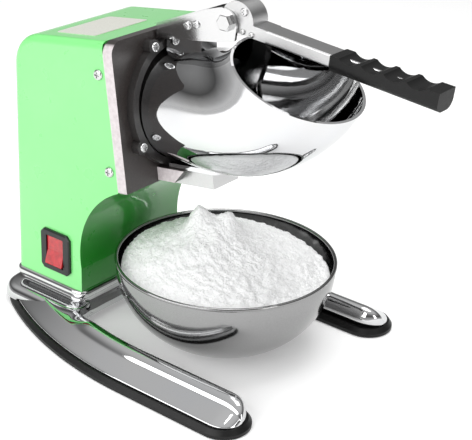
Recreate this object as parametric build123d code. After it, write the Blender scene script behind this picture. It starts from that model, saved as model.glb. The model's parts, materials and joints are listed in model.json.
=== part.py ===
from build123d import *
import math
import os

# Shaved ice machine. Millimetres, +Z up, front towards -Y, +X to the right seen from the front.
# The origin is on the table, under the middle of the whole machine.

os.makedirs("parts", exist_ok=True)

# ---------- driving dimensions ----------

# housing
body_width = 136.0
body_wall = 2.0
body_bottom_z = 34.0
body_rear_bottom_y = 188.0
body_rear_lean = 1.2          # degrees, the back leans forward towards the top
body_front_y = 102.3
body_rear_corner = 32.0
body_edge_round = 7.0
hollow_start_z = 58.0         # where the hollowed front of the housing starts to curve
hollow_bulge = 0.171          # depth of that curve as a share of its chord

# cast front plate, tilted back at the top
plate_tilt = 8.1
plate_height = 133.7
plate_thickness = 10.6
plate_foot_y = 45.3
plate_foot_z = 149.3
plate_corner = 12.0
hub_height = 68.5             # motor axis above the lower edge of the plate

# ice chamber: sections along the elbow from the plate to the mouth
chamber_wall = 2.5
chamber_start_radius = 49.5
flange_width = 5.5
flange_thickness = 3.0
ring_width = 8.0              # of the dark clamp ring, beyond the chamber
ring_height = 5.0
chamber_path = [(18.1, 218.0, 53.1), (-18.3, 225.2, 59.3), (-46.9, 238.2, 60.9)]
mouth_y = -79.8
mouth_z = 269.7
mouth_radius = 58.6
mouth_tilt = 22.2

# drive
shaft_radius = 6.0
disc_thickness = 4.0
disc_gap = 2.0
stator_radius = 47.0
stator_length = 46.0
bearing_radius = 16.0
bearing_width = 9.0

# hinge and lever
pivot_y = -14.6
pivot_z = 305.0
pivot_radius = 4.0
lever_slope = 5.2             # degrees below level, as it stands at rest
arm_width = 20.0
arm_height = 10.4
arm_drop = 1.9                # middle of the arm below the pivot
arm_wall = 1.5
arm_start = 26.0
arm_end = 106.0
grip_start = 101.5
grip_end = 199.9
grip_wall = 2.0               # rubber beside the arm
bracket_sheet = 2.5
bracket_gap = 0.5             # each side, between bracket and knuckle
closing_angle = 15.0          # travel down from rest until the pusher is home

# base
leg_x = 108.7
leg_foot_width = 48.4
leg_chrome_width = 39.0
leg_height = 26.0
rubber_height = 8.0
leg_tip_y = -99.5
leg_bend_y = -0.6
leg_side_radius = 348.0
leg_side_sweep = 28.3
leg_rear_radius = 49.5
base_wall = 3.0

# bowl
bowl_radius = 100.0
bowl_height = 86.5
bowl_y = -12.5
bowl_wall = 1.2
bowl_foot_radius = 40.0

# switch
switch_y = 133.9
switch_z = 65.5
switch_width = 37.0
switch_height = 41.0
rocker_gap = 0.4

# fits
running_gap = 0.05            # radial, between a turning shaft and its hole
screw_gap = 0.15              # radial, between a screw shank and its hole
seat_gap = 0.3                # between neighbouring curved faces


# ---------- shared shapes ----------

LOW = (Align.CENTER, Align.CENTER, Align.MIN)


def save(name, *shapes):
    solids = [solid for shape in shapes for solid in shape.solids()]
    model = solids[0] if len(solids) == 1 else Compound(children=solids)
    export_step(model, f"parts/{name}.step")


def side_profile(x=0.0):
    """Plane whose local x is world +Y and local y is world +Z."""
    return Plane(origin=(x, 0, 0), x_dir=(0, 1, 0), z_dir=(1, 0, 0))


def side_slab(outline, half_width, middle=0.0):
    """Solid from a closed outline in Y, Z, reaching half_width each way along X."""
    return extrude(side_profile(middle) * make_face(outline), half_width, both=True)


def block(x0, x1, y0, y1, z0, z1):
    size = (x1 - x0, y1 - y0, z1 - z0)
    return Pos((x0 + x1) / 2, (y0 + y1) / 2, (z0 + z1) / 2) * Box(*size)


def ring(outer, inner, height):
    return Cylinder(outer, height, align=LOW) - Cylinder(inner, height, align=LOW)


def cross_screw(head_radius, head_height, shank_radius, shank_length):
    """Domed cross-head screw: the seat is at z 0, the head above it, the shank below."""
    head = Cylinder(head_radius, head_height, align=LOW)
    head = fillet(head.edges().group_by(Axis.Z)[-1], head_height * 0.7)
    slot = Pos(0, 0, head_height) * Box(head_radius * 1.1, head_radius * 0.28, head_height)
    head = head - slot - Rot(0, 0, 90) * slot
    shank = Pos(0, 0, -shank_length) * Cylinder(shank_radius, shank_length, align=LOW)
    return head + shank


def hex_screw(across_flats, head_height, shank_radius, shank_length):
    head = extrude(RegularPolygon(across_flats / 2, 6, major_radius=False), head_height)
    head = chamfer(head.edges().group_by(Axis.Z)[-1], head_height * 0.15)
    shank = Pos(0, 0, -shank_length) * Cylinder(shank_radius, shank_length, align=LOW)
    return head + shank


# ---------- reference frames ----------

tilt = math.radians(plate_tilt)
plate_up = (0, math.sin(tilt), math.cos(tilt))
plate_out = (0, -math.cos(tilt), math.sin(tilt))
plate_frame = Plane(origin=(0, plate_foot_y, plate_foot_z), x_dir=(1, 0, 0), z_dir=plate_out).location
hub_frame = plate_frame * Pos(0, hub_height, 0)
half_body = body_width / 2

slope = math.radians(lever_slope)
lever_frame = Plane(
    origin=(0, pivot_y, pivot_z),
    x_dir=(0, -math.cos(slope), -math.sin(slope)),
    z_dir=(-1, 0, 0),
)


def on_plate(x, up, out=0.0):
    return plate_frame * Pos(x, up, out)


def on_hub(out, radius=0.0, angle=0.0):
    across = radius * math.cos(math.radians(angle))
    rise = radius * math.sin(math.radians(angle))
    return hub_frame * Pos(across, rise, out)


def plate_point(up, out):
    """Y and Z of a point given along the plate and out of it."""
    place = Vector(0, plate_foot_y, plate_foot_z) + Vector(*plate_up) * up + Vector(*plate_out) * out
    return (place.Y, place.Z)


def lever_slab(outline, half_width):
    """Solid from a closed outline in the lever's own plane: forward, up."""
    return extrude(lever_frame * make_face(outline), half_width, both=True)


def across(y, z, x=0.0, side=1):
    """Frame at a point whose local z points to +X (side 1) or to -X (side -1)."""
    return Plane(origin=(x, y, z), x_dir=(0, 1, 0), z_dir=(side, 0, 0)).location


# ---------- housing ----------

def housing_outline(inset=0.0):
    """Side view of the housing as a face in Y, Z, made smaller all round by the inset."""
    rear_run = math.tan(math.radians(body_rear_lean))
    foot = plate_point(0, -plate_thickness)
    crown = plate_point(plate_height, -plate_thickness)
    back = math.tan(tilt)
    top_rear_y = 183.0
    top_rear = (top_rear_y, crown[1] - (top_rear_y - crown[0]) * back)
    rear_bottom = (body_rear_bottom_y, body_bottom_z)
    rear_top = (body_rear_bottom_y - (top_rear[1] - body_bottom_z) * rear_run, top_rear[1])
    chord_start = (body_front_y, hollow_start_z)
    middle = ((chord_start[0] + foot[0]) / 2, (chord_start[1] + foot[1]) / 2)
    run = (foot[0] - chord_start[0], foot[1] - chord_start[1])
    bulge = (middle[0] + run[1] * hollow_bulge, middle[1] - run[0] * hollow_bulge)
    edges = [
        Line((body_front_y, body_bottom_z), chord_start),
        ThreePointArc(chord_start, bulge, foot),
        Line(foot, crown),
        Line(crown, rear_top),
        Line(rear_top, rear_bottom),
        Line(rear_bottom, (body_front_y, body_bottom_z)),
    ]
    face = make_face(edges)
    corner = face.vertices().sort_by_distance(rear_top)[0]
    face = fillet(corner, body_rear_corner)
    return offset(face, amount=-inset, kind=Kind.INTERSECTION) if inset else face


def housing_form(inset=0.0):
    """Solid form of the housing, its back and top edges rounded along both sides."""
    half = half_body - inset
    form = extrude(side_profile() * housing_outline(inset), half, both=True)
    crown = plate_point(plate_height, -plate_thickness)

    def rounded(edge):
        middle = edge.center()
        beside = abs(abs(middle.X) - half) < 0.01
        top = middle.Z > crown[1] - 30 and middle.Y > crown[0] + 5
        return beside and (top or middle.Y > body_rear_bottom_y - 12)

    return fillet(form.edges().filter_by(rounded), body_edge_round - inset)


switch_hole = (switch_width - 8, switch_height - 8)
side_screw_places = [(-7.0, 19.0), (-7.0, 105.5)]     # behind the plate, up the plate
vent_rows = 7
vent_pitch = 9.0
vent_length = 60.0
vent_low_z = 150.0
gland_x = 34.0
gland_z = 66.0
gland_radius = 7.0


def side_screw_frame(side, out, up):
    y, z = plate_point(up, out - plate_thickness)
    return across(y, z, side * half_body, side)


def housing_shell():
    shell = housing_form() - housing_form(body_wall)
    opening = on_plate(0, plate_height / 2, -plate_thickness)
    shell -= opening * Box(body_width - 2 * body_wall, plate_height - 2 * body_wall, 6 * body_wall)
    shell -= block(
        -half_body + body_wall, half_body - body_wall,
        body_front_y + body_wall, body_rear_bottom_y - body_wall,
        body_bottom_z - 1, body_bottom_z + 3 * body_wall,
    )
    shell -= across(switch_y, switch_z, -half_body, -1) * Box(switch_hole[0], switch_hole[1], 12)
    for side in (-1, 1):
        for out, up in side_screw_places:
            shell -= side_screw_frame(side, out, up) * Cylinder(2.5 + screw_gap, 12)
    for row in range(vent_rows):
        height = vent_low_z + row * vent_pitch
        shell -= block(-vent_length / 2, vent_length / 2, 170, 200, height, height + 3.5)
    shell -= Pos(gland_x, body_rear_bottom_y, gland_z) * Rot(90, 0, 0) * Cylinder(gland_radius, 20)
    return shell


def side_screws():
    screw = cross_screw(4.8, 2.8, 2.5, 13)
    return [
        side_screw_frame(side, out, up) * screw
        for side in (-1, 1)
        for out, up in side_screw_places
    ]


label_size = (67.0, 48.0)
label_x = -17.5
label_back = 47.0


def rating_label():
    """Thin blank plate on the sloping top."""
    sheet = Pos(label_x, 0, 0) * Box(label_size[0], 0.5, label_size[1])
    sheet = fillet(sheet.edges().filter_by(Axis.Y), 3)
    return on_plate(0, plate_height + 0.27, -plate_thickness - label_back) * sheet


# ---------- front plate ----------

flange_radius = chamber_start_radius + flange_width
disc_radius = chamber_start_radius - chamber_wall - 2.5
recess_radius = disc_radius + 1.5
recess_depth = 5.0
boss_half = 27.0
boss_top = 14.0               # up the plate
boss_low = 2.0
boss_reach = 24.0
boss_roof = 3.5
spout_half = 17.0
lug = (10.0, 13.0, 13.0)
clamp_angles = (66, 114, 210, 330)
clamp_circle = chamber_start_radius + ring_width + 0.5
motor_bolt_circle = 54.0
motor_bolt_angles = (45, 135, 225, 315)


def front_plate():
    face = Rectangle(body_width, plate_height)
    top = face.vertices().group_by(Axis.Y)[-1]
    face = fillet(top, plate_corner)
    slab = on_plate(0, plate_height / 2, -plate_thickness) * extrude(face, plate_thickness)
    rim = slab.faces().sort_by(Axis.Y)[0].edges()
    slab = chamfer(rim, 1.2)
    slab -= on_hub(-recess_depth) * Cylinder(recess_radius, recess_depth, align=LOW)
    slab += on_hub(-recess_depth) * Cylinder(bearing_radius + 3, recess_depth - 1.5, align=LOW)
    boss = side_slab(Polyline(
        plate_point(boss_low, -1), plate_point(boss_top, -1), plate_point(boss_top, boss_reach + 7),
        plate_point(boss_low + 5, boss_reach), plate_point(boss_low, boss_reach - 5), close=True,
    ), boss_half)
    slab += boss
    throat_top = hub_height - recess_radius + 8
    throat = side_slab(Polyline(
        plate_point(boss_low - 6, -recess_depth), plate_point(throat_top, -recess_depth),
        plate_point(throat_top, 0), plate_point(boss_top - boss_roof, 0),
        plate_point(boss_top - boss_roof, boss_reach + 9), plate_point(boss_low - 6, boss_reach + 9),
        close=True,
    ), spout_half)
    slab -= throat
    slab -= on_hub(0) * Cylinder(flange_radius + seat_gap, flange_thickness + seat_gap, align=LOW)
    slab -= chamber_form(seat_gap)
    for side in (-1, 1):
        for out, up in side_screw_places:
            lug_x = side * (half_body - body_wall - lug[0] / 2)
            slab += on_plate(lug_x, up, -plate_thickness - lug[2] / 2) * Box(*lug)
            slab -= side_screw_frame(side, out, up) * Cylinder(2.5 + screw_gap, 40)
    slab -= on_hub(-20) * Cylinder(shaft_radius + 3, 40, align=LOW)
    for angle in clamp_angles:
        slab -= on_hub(-9, clamp_circle, angle) * Cylinder(2.0 + screw_gap, 10, align=LOW)
    for angle in motor_bolt_angles:
        tapped = Cylinder(2.5 + screw_gap, 8, align=LOW)
        slab -= on_hub(-plate_thickness - 1, motor_bolt_circle, angle) * tapped
    return slab


# ---------- ice chamber ----------

def chamber_form(grow=0.0, reach=0.0):
    """Solid elbow through the chamber's sections, its radius changed by grow."""
    start_y, start_z = plate_point(hub_height, 0)
    stations = [(start_y, start_z, chamber_start_radius)] + chamber_path
    stations.append((mouth_y, mouth_z, mouth_radius))
    turn_first = plate_tilt
    turn_last = 90 - mouth_tilt
    faces = []
    for index, (y, z, radius) in enumerate(stations):
        turn = math.radians(turn_first + (turn_last - turn_first) * index / (len(stations) - 1))
        out = Vector(0, -math.cos(turn), math.sin(turn))
        push = -reach if index == 0 else reach if index == len(stations) - 1 else 0
        centre = Vector(0, y, z) + out * push
        frame = Plane(origin=centre, x_dir=(1, 0, 0), z_dir=out).location
        faces.append(frame * Rot(0, 0, 90) * Circle(radius + grow))
    return loft(faces)


lug_block_y = (14.0, 52.0)
ledge_half = 24.0
ledge_reach = (12.0, 66.0)
ledge_up = (14.2, 18.5)
bracket_screw_y = (17.5, 27.5)
bracket_screw_z = (296.0, 293.0)


def ice_chamber():
    """Polished elbow hopper with a flange at the plate and a rib for the hinge bracket."""
    shell = chamber_form()
    shell += on_hub(0) * Cylinder(flange_radius, flange_thickness, align=LOW)
    half_rib = arm_width / 2 + bracket_gap
    rib_top = [(lug_block_y[0], 300.0), (lug_block_y[1], 288.5)]
    shell += side_slab(Polyline(
        (lug_block_y[0], 262), rib_top[0], rib_top[1], (lug_block_y[1], 262), close=True,
    ), half_rib)
    ledge_middle = (ledge_reach[0] + ledge_reach[1]) / 2
    ledge = Box(2 * ledge_half, ledge_up[1] - ledge_up[0], ledge_reach[1] - ledge_reach[0])
    ledge = fillet(ledge.edges().filter_by(Axis.Y).group_by(Axis.Z)[-1], 6)
    shell += on_plate(0, (ledge_up[0] + ledge_up[1]) / 2, ledge_middle) * ledge
    shell -= chamber_form(-chamber_wall, 1.0)
    mouth_out = (0, -math.sin(math.radians(mouth_tilt)), math.cos(math.radians(mouth_tilt)))
    mouth = Plane(origin=(0, mouth_y, mouth_z), x_dir=(1, 0, 0), z_dir=mouth_out)
    shell -= mouth * Cylinder(mouth_radius + 40, 30, align=LOW)
    for y, z in zip(bracket_screw_y, bracket_screw_z):
        shell -= across(y, z) * Cylinder(2.0 + screw_gap, 60)
    return shell


def clamp_ring():
    """Dark ring that holds the chamber's flange to the plate."""
    outer = chamber_start_radius + ring_width
    cap_bore = chamber_start_radius + 1.2
    body = on_hub(0) * ring(outer, flange_radius + seat_gap, flange_thickness)
    body += on_hub(flange_thickness) * ring(outer, cap_bore, ring_height)
    for angle in clamp_angles:
        ear = on_hub(0, clamp_circle, angle) * Cylinder(6.5, flange_thickness + ring_height, align=LOW)
        body += ear
    body -= on_hub(-1) * Cylinder(flange_radius + seat_gap, flange_thickness + 1, align=LOW)
    body -= on_hub(0) * Cylinder(cap_bore, 20, align=LOW)
    body -= chamber_form(seat_gap)
    body -= on_plate(0, 0, -1) * Box(2 * boss_half + 1, 2 * boss_top + 1, 80)
    for angle in clamp_angles:
        body -= on_hub(-1, clamp_circle, angle) * Cylinder(2.0 + screw_gap, 20, align=LOW)
    return body


def clamp_screws():
    screw = cross_screw(4.2, 2.6, 2.0, flange_thickness + ring_height + 7)
    return [on_hub(flange_thickness + ring_height, clamp_circle, angle) * screw for angle in clamp_angles]


spout_wall = 1.5
spout_front = 55.2
spout_low = -2.1


def chute_spout():
    """Open-bottomed aluminium hood that throws the ice down into the bowl."""
    start = 4.0
    step = boss_reach + 8
    inner_top = boss_top - boss_roof
    outline = [(spout_low, start), (inner_top, start), (inner_top, step), (boss_top, step)]
    outline += [(boss_top, spout_front), (spout_low, spout_front)]
    outer = side_slab(Polyline(*[plate_point(*point) for point in outline], close=True), spout_half)
    inner = side_slab(Polyline(
        plate_point(spout_low - 1, start - 1), plate_point(boss_top + 1, start - 1),
        plate_point(boss_top + 1, spout_front - spout_wall),
        plate_point(spout_low - 1, spout_front - spout_wall), close=True,
    ), spout_half - spout_wall)
    return outer - inner - chamber_form(seat_gap)


# ---------- blade disc ----------

disc_bore = 5.0
blade_size = (0.72 * disc_radius, 13.0, 2.0)
blade_middle = disc_radius - 1.5 - blade_size[0] / 2
blade_screw_step = 10.0
window = (blade_size[0] - 2, 7.0)
disc_face = disc_gap + disc_thickness


def blade_places():
    return [Rot(0, 0, turn) * Pos(blade_middle, 0, 0) for turn in (20, 200)]


def blade_disc():
    disc = on_hub(disc_gap) * Cylinder(disc_radius, disc_thickness, align=LOW)
    disc += on_hub(-1) * Cylinder(9, disc_gap + 1, align=LOW)
    disc -= on_hub(-2) * Cylinder(disc_bore, 20, align=LOW)
    disc -= on_hub(-2) * Cylinder(shaft_radius, disc_gap + 2, align=LOW)
    for place in blade_places():
        slot = Pos(0, blade_size[1] / 2 + window[1] / 2 - 2, 0) * Box(window[0], window[1], 30)
        disc -= hub_frame * place * slot
        for step in (-blade_screw_step, blade_screw_step):
            disc -= hub_frame * place * Pos(step, -3, 0) * Cylinder(1.5 + screw_gap, 30)
    return disc


def blades():
    parts = []
    for place in blade_places():
        blade = Box(*blade_size, align=LOW)
        edge = blade.edges().filter_by(Axis.X).group_by(Axis.Z)[-1].sort_by(Axis.Y)[-1]
        blade = chamfer(edge, 1.7, 1.9)
        for step in (-blade_screw_step, blade_screw_step):
            blade -= Pos(step, -3, 0) * Cylinder(1.5 + screw_gap, 10)
        parts.append(hub_frame * place * Pos(0, 0, disc_face) * blade)
    return parts


def blade_screws():
    screw = cross_screw(2.8, 1.6, 1.5, disc_thickness + blade_size[2] - 0.5)
    top = disc_face + blade_size[2]
    return [
        hub_frame * place * Pos(step, -3, top) * screw
        for place in blade_places()
        for step in (-blade_screw_step, blade_screw_step)
    ]


def disc_nut():
    nut = extrude(RegularPolygon(8, 6, major_radius=False), 6)
    nut = chamfer(nut.edges().group_by(Axis.Z)[-1], 1)
    nut -= Cylinder(disc_bore, 20)
    return on_hub(disc_face) * nut


# ---------- motor ----------

bell_radius = 50.0
bell_depth = 24.0
bell_wall = 5.0
ear_radius = 7.0
rotor_radius = 28.0
air_gap = 0.5
winding_length = 12.0
seat_depth = 6.0
motor_front = -plate_thickness
stator_front = motor_front - bell_depth
stator_back = stator_front - stator_length
motor_back = stator_back - bell_depth
fan_start = motor_back - 2.5
fan_depth = 9.0
fan_radius = 40.0
fan_blades = 9
shaft_back = fan_start - fan_depth - 2


def motor_bell():
    """Cast end bell, open towards +z, its bearing seat inside; the closed face is at z 0."""
    bell = Cylinder(bell_radius, bell_depth, align=LOW)
    bell -= Pos(0, 0, bell_wall) * Cylinder(bell_radius - 3.5, bell_depth, align=LOW)
    bell += Pos(0, 0, 1) * Cylinder(bearing_radius + 4, bell_wall + bearing_width - 1, align=LOW)
    bell -= Pos(0, 0, bell_wall) * Cylinder(bearing_radius, bell_depth, align=LOW)
    bell -= Cylinder(shaft_radius + 2, 60)
    for angle in motor_bolt_angles:
        place = Rot(0, 0, angle) * Pos(motor_bolt_circle, 0, 0)
        ear = place * Cylinder(ear_radius, 8, align=LOW)
        web = Rot(0, 0, angle) * Pos(bell_radius - 1, 0, 0) * Box(8, 2 * ear_radius, 8, align=LOW)
        bell += ear + (web - Cylinder(bell_radius - 2, 60))
        bell -= place * Cylinder(2.5 + screw_gap, 60)
    for turn in range(8):
        vent = Rot(0, 0, 22.5 + turn * 45) * Pos(32, 0, 0) * Cylinder(4.5, 3 * bell_wall)
        bell -= vent
    return bell


def front_bell():
    return on_hub(motor_front) * Rot(180, 0, 0) * motor_bell()


def rear_bell():
    return on_hub(motor_back) * motor_bell()


def motor_bolts():
    reach = motor_front - motor_back + 6
    bolt = hex_screw(8, 4, 2.5, reach)
    return [
        on_hub(motor_back, motor_bolt_circle, angle) * Rot(180, 0, 0) * bolt
        for angle in motor_bolt_angles
    ]


def stator_core():
    core = on_hub(stator_back) * ring(stator_radius, rotor_radius + air_gap, stator_length)
    for turn in range(24):
        slot = Rot(0, 0, turn * 15) * Pos(rotor_radius + 4.5, 0, 0) * Box(7, 3.4, 400)
        core -= hub_frame * slot
    return core


def windings():
    inner = rotor_radius + 2.0
    outer = stator_radius - 5.0
    coil = ring(outer, inner, winding_length)
    coil = fillet(coil.edges().group_by(Axis.Z)[-1], 3)
    return [on_hub(stator_front) * coil, on_hub(stator_back) * Rot(180, 0, 0) * coil]


def rotor_core():
    core = on_hub(stator_back) * ring(rotor_radius, shaft_radius, stator_length)
    end_ring = ring(rotor_radius - 2, rotor_radius - 9, 4)
    return core + on_hub(stator_front) * end_ring + on_hub(stator_back - 4) * end_ring


def motor_shaft():
    shaft = on_hub(shaft_back) * Cylinder(shaft_radius, disc_gap - shaft_back, align=LOW)
    shaft += on_hub(disc_gap) * Cylinder(disc_bore, disc_thickness + 9, align=LOW)
    return shaft


def bearing(start):
    return on_hub(start) * ring(bearing_radius, shaft_radius + running_gap, bearing_width)


def shaft_seal():
    return on_hub(-recess_depth) * ring(shaft_radius + 3, shaft_radius + running_gap, recess_depth - 1.5)


def cooling_fan():
    fan = ring(11, shaft_radius, fan_depth) + ring(fan_radius, 10, 1.5)
    for turn in range(fan_blades):
        blade = Pos(24.5, 0, 0) * Box(2 * (fan_radius - 25), 1.5, fan_depth, align=LOW)
        fan += Rot(0, 0, turn * 360 / fan_blades) * blade
    return on_hub(fan_start) * Rot(180, 0, 0) * fan


# ---------- electrics in the foot of the housing ----------

floor_thickness = 2.0
floor_z = body_bottom_z + floor_thickness
capacitor_radius = 17.5
capacitor_height = 60.0
capacitor_place = (30.0, 150.0)
rear_normal = Vector(0, math.cos(math.radians(body_rear_lean)), math.sin(math.radians(body_rear_lean)))


def capacitor():
    can = Pos(*capacitor_place, floor_z) * Cylinder(capacitor_radius, capacitor_height, align=LOW)
    can = fillet(can.edges().group_by(Axis.Z)[-1], 2)
    for x in (-5, 5):
        tab = Pos(x, 0, floor_z + capacitor_height) * Box(4, 1, 9, align=LOW)
        can += Pos(*capacitor_place, 0) * tab
    return can


def capacitor_clip():
    strap = Pos(*capacitor_place, floor_z) * ring(capacitor_radius + 1.5, capacitor_radius, 16)
    foot = block(-26, -capacitor_radius - 0.8, -8, 8, 0, 1.5)
    return strap + Pos(*capacitor_place, floor_z) * foot


terminal_size = (44.0, 15.0, 14.0)
terminal_place = (-18.0, 172.0)


def terminal_block():
    body = Box(*terminal_size, align=LOW)
    for index in range(4):
        x = (index - 1.5) * 10.5
        body -= Pos(x, 0, terminal_size[2]) * Box(7, 9, 8)
        body += Pos(x, 0, terminal_size[2] - 5) * Cylinder(2.4, 3, align=LOW)
    return Pos(*terminal_place, floor_z) * body


def floor_plate():
    inner = half_body - body_wall - seat_gap
    front = body_front_y + body_wall + seat_gap
    rear = body_rear_bottom_y - body_wall - seat_gap - 0.1
    return block(-inner, inner, front, rear, body_bottom_z, floor_z) - base_bolt_holes()


def rear_frame(x, z):
    y = body_rear_bottom_y - (z - body_bottom_z) * math.tan(math.radians(body_rear_lean))
    return Plane(origin=(x, y, z), x_dir=(1, 0, 0), z_dir=rear_normal).location


def cord_gland():
    """Threaded cord entry: flange outside, locknut inside."""
    sleeve = Pos(0, 0, -12) * Cylinder(gland_radius - 0.3, 14, align=LOW)
    flange = Cylinder(gland_radius + 3, 3, align=LOW)
    cap = Pos(0, 0, 3) * Cone(gland_radius + 1, gland_radius - 2, 8, align=LOW)
    nut = Pos(0, 0, -body_wall - 5) * extrude(RegularPolygon(10, 6, major_radius=False), 5)
    return rear_frame(gland_x, gland_z) * (sleeve + flange + cap + nut - Cylinder(3.6, 60))


# ---------- switch ----------

rocker_tilt = 8.0
rocker_size = (21.0, 28.0)    # across, tall
rocker_hole = (rocker_size[0] + 2 * rocker_gap, rocker_size[1] + 2 * rocker_gap + 1.5)
bezel_height = 3.2
rocker_pivot_depth = 2.5
switch_frame = across(switch_y, switch_z, -half_body, -1)


def switch_bezel():
    plate = Box(switch_width, switch_height, bezel_height, align=LOW)
    plate = chamfer(plate.edges().filter_by(Axis.Z), 4)
    plate = chamfer(plate.faces().sort_by(Axis.Z)[-1].edges(), 1)
    return switch_frame * (plate - Box(*rocker_hole, 20))


def switch_body():
    box = Pos(0, 0, -24) * Box(switch_hole[0] - 0.4, switch_hole[1] - 0.4, 24, align=LOW)
    box -= Box(*rocker_hole, 30)
    for x in (-7, 0, 7):
        box += Pos(x, 0, -31) * Box(0.8, 6, 7.5, align=LOW)
    return switch_frame * box


def switch_rocker():
    """Paddle with two flat faces, rocked about its middle; its upper half stands pressed in."""
    half = rocker_size[1] / 2
    lift = half * math.tan(math.radians(rocker_tilt))
    outline = make_face(Polyline(
        (-half, 4.2 + lift), (0, 4.2), (half, 4.2 + lift), (half - 2, -5), (-half + 2, -5), close=True,
    ))
    frame = Plane(origin=(0, 0, 0), x_dir=(0, 1, 0), z_dir=(1, 0, 0))
    paddle = extrude(frame * outline, rocker_size[0] / 2, both=True)
    return switch_frame * Pos(0, 0, -rocker_pivot_depth) * Rot(rocker_tilt, 0, 0) * paddle


# ---------- hinge bracket ----------

bracket_half = arm_width / 2 + bracket_gap + bracket_sheet
bracket_nose = 12.5
bracket_back = 62.0


def hinge_bracket():
    """Channel that straddles the rib, its two cheeks carrying the pivot bolt."""
    nose_y = pivot_y + 2.6
    low_front = (nose_y - bracket_nose + 1.5, 290.0)
    corners = [
        (bracket_back, 274.8), (nose_y + 2, 286.6), low_front, (nose_y - bracket_nose, 303.0),
        (nose_y - 8, 313.2), (nose_y + 3, 316.2), (8.8, 310.6), (bracket_back, 288.2),
    ]
    outline = FilletPolyline(*corners, radius=[2, 8, 3, 6, 7, 7, 8, 1], close=True)
    channel = side_slab(outline, bracket_half)
    web_start = 8.8
    half_gap = arm_width / 2 + bracket_gap
    space = side_slab(Polyline(
        (bracket_back + 5, 260), (nose_y - 40, 260), (nose_y - 40, 340), (web_start, 340),
        (web_start, 310.6 - bracket_sheet), (bracket_back + 5, 288.2 - bracket_sheet - 2.1), close=True,
    ), half_gap)
    channel -= space
    channel -= across(pivot_y, pivot_z) * Cylinder(pivot_radius + running_gap, 80)
    for y, z in zip(bracket_screw_y, bracket_screw_z):
        channel -= across(y, z) * Cylinder(2.0 + screw_gap, 60)
    return channel


def bracket_screws():
    screw = cross_screw(3.6, 2.0, 2.0, bracket_sheet + 7)
    return [
        across(y, z, side * bracket_half, side) * screw
        for side in (-1, 1)
        for y, z in zip(bracket_screw_y, bracket_screw_z)
    ]


def pivot_bolt():
    bolt = hex_screw(13, 5.5, pivot_radius, 2 * bracket_half + 9)
    return across(pivot_y, pivot_z, -bracket_half, -1) * bolt


def pivot_nut():
    nut = extrude(RegularPolygon(6.5, 6, major_radius=False), 6.5)
    nut = chamfer(nut.edges().group_by(Axis.Z)[-1], 0.9)
    return across(pivot_y, pivot_z, bracket_half, 1) * (nut - Cylinder(pivot_radius, 40))


# ---------- lever ----------

arm_low = -arm_drop - arm_height / 2
arm_top = -arm_drop + arm_height / 2
knuckle_eye = (7.8, 2.7)
knuckle_radius = 16.5
knuckle_end = 38.0
tongue_length = 20.0
knuckle_screw_places = [(14.9, arm_low + 2.6), (24.0, arm_low + 2.6), (14.3, 12.2)]
hook_half = 4.0
pusher_radius = disc_radius - 6.5
pusher_thickness = 4.0
pusher_home = (25.4, 223.0)
closed_slope = slope + math.radians(closing_angle)
pusher_turn = closed_slope + tilt


def lever_point(y, z):
    """Forward and up in the lever's frame, of a point given with the lever pressed home."""
    back = y - pivot_y
    rise = z - pivot_z
    forward = -back * math.cos(closed_slope) - rise * math.sin(closed_slope)
    up = -back * math.sin(closed_slope) + rise * math.cos(closed_slope)
    return (forward, up)


def lever_world(forward, up):
    return lever_frame.origin + lever_frame.x_dir * forward + lever_frame.y_dir * up


pusher_middle = lever_point(*pusher_home)
pusher_up = (-math.sin(pusher_turn), math.cos(pusher_turn))
pusher_facing = (-math.cos(pusher_turn), -math.sin(pusher_turn))


def pusher_point(up, out):
    forward = pusher_middle[0] + pusher_up[0] * up + pusher_facing[0] * out
    rise = pusher_middle[1] + pusher_up[1] * up + pusher_facing[1] * out
    return (forward, rise)


def lever_bore(forward, up, radius, length=80):
    centre = lever_world(forward, up)
    return across(centre.Y, centre.Z) * Cylinder(radius, length)


def lever_box(start, end, low, top, half):
    return lever_slab(Polyline((start, low), (end, low), (end, top), (start, top), close=True), half)


def knuckle():
    """Rounded hinge block; its tongue fits inside the arm and a slot holds the pusher's arm."""
    eye = lever_slab(Wire([Edge.make_circle(knuckle_radius)]).moved(Pos(*knuckle_eye, 0)), arm_width / 2)
    below = lever_slab(Polyline((-60, arm_low), (60, arm_low), (60, -60), (-60, -60), close=True), 60)
    body = eye - below
    body += lever_box(knuckle_eye[0], knuckle_end, arm_low, arm_top, arm_width / 2)
    tongue_end = knuckle_end + tongue_length
    inside = (arm_low + arm_wall, arm_top - arm_wall, arm_width / 2 - arm_wall)
    body += lever_box(knuckle_end - 1, tongue_end, *inside)
    body -= lever_box(9, knuckle_end - 2, arm_low - 1, 1.5, hook_half)
    body -= lever_bore(0, 0, pivot_radius + running_gap)
    for forward, up in knuckle_screw_places:
        body -= lever_bore(forward, up, 1.5 + screw_gap)
    return body


def knuckle_screws():
    """Two screws low down that clamp the pusher's arm, and a larger one near the top, on each side."""
    parts = []
    for index, (forward, up) in enumerate(knuckle_screw_places):
        centre = lever_world(forward, up)
        head = 3.6 if index == 2 else 2.5
        screw = cross_screw(head, 1.7, 1.5, arm_width / 2 - hook_half + 1)
        for side in (-1, 1):
            parts.append(across(centre.Y, centre.Z, side * arm_width / 2, side) * screw)
    return parts


def lever_arm():
    """Rectangular aluminium tube from the knuckle into the grip."""
    tube = lever_box(knuckle_end, arm_end, arm_low, arm_top, arm_width / 2)
    corners = tube.edges().filter_by(lambda e: e.length > arm_end - knuckle_end - 1)
    tube = fillet(corners, 1.4)
    inner = (arm_low + arm_wall, arm_top - arm_wall, arm_width / 2 - arm_wall)
    return tube - lever_box(knuckle_end - 1, arm_end + 1, *inner)


core_radius = 3.5
core_start = 84.0
grip_low = -11.5
grip_top = 3.6
grip_rise = 1.6               # the grip's top climbs this much towards its end
groove_count = 4
groove_pitch = 20.5
groove_first = 118.0
groove_depth = 3.2
groove_width = 17.0


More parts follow.
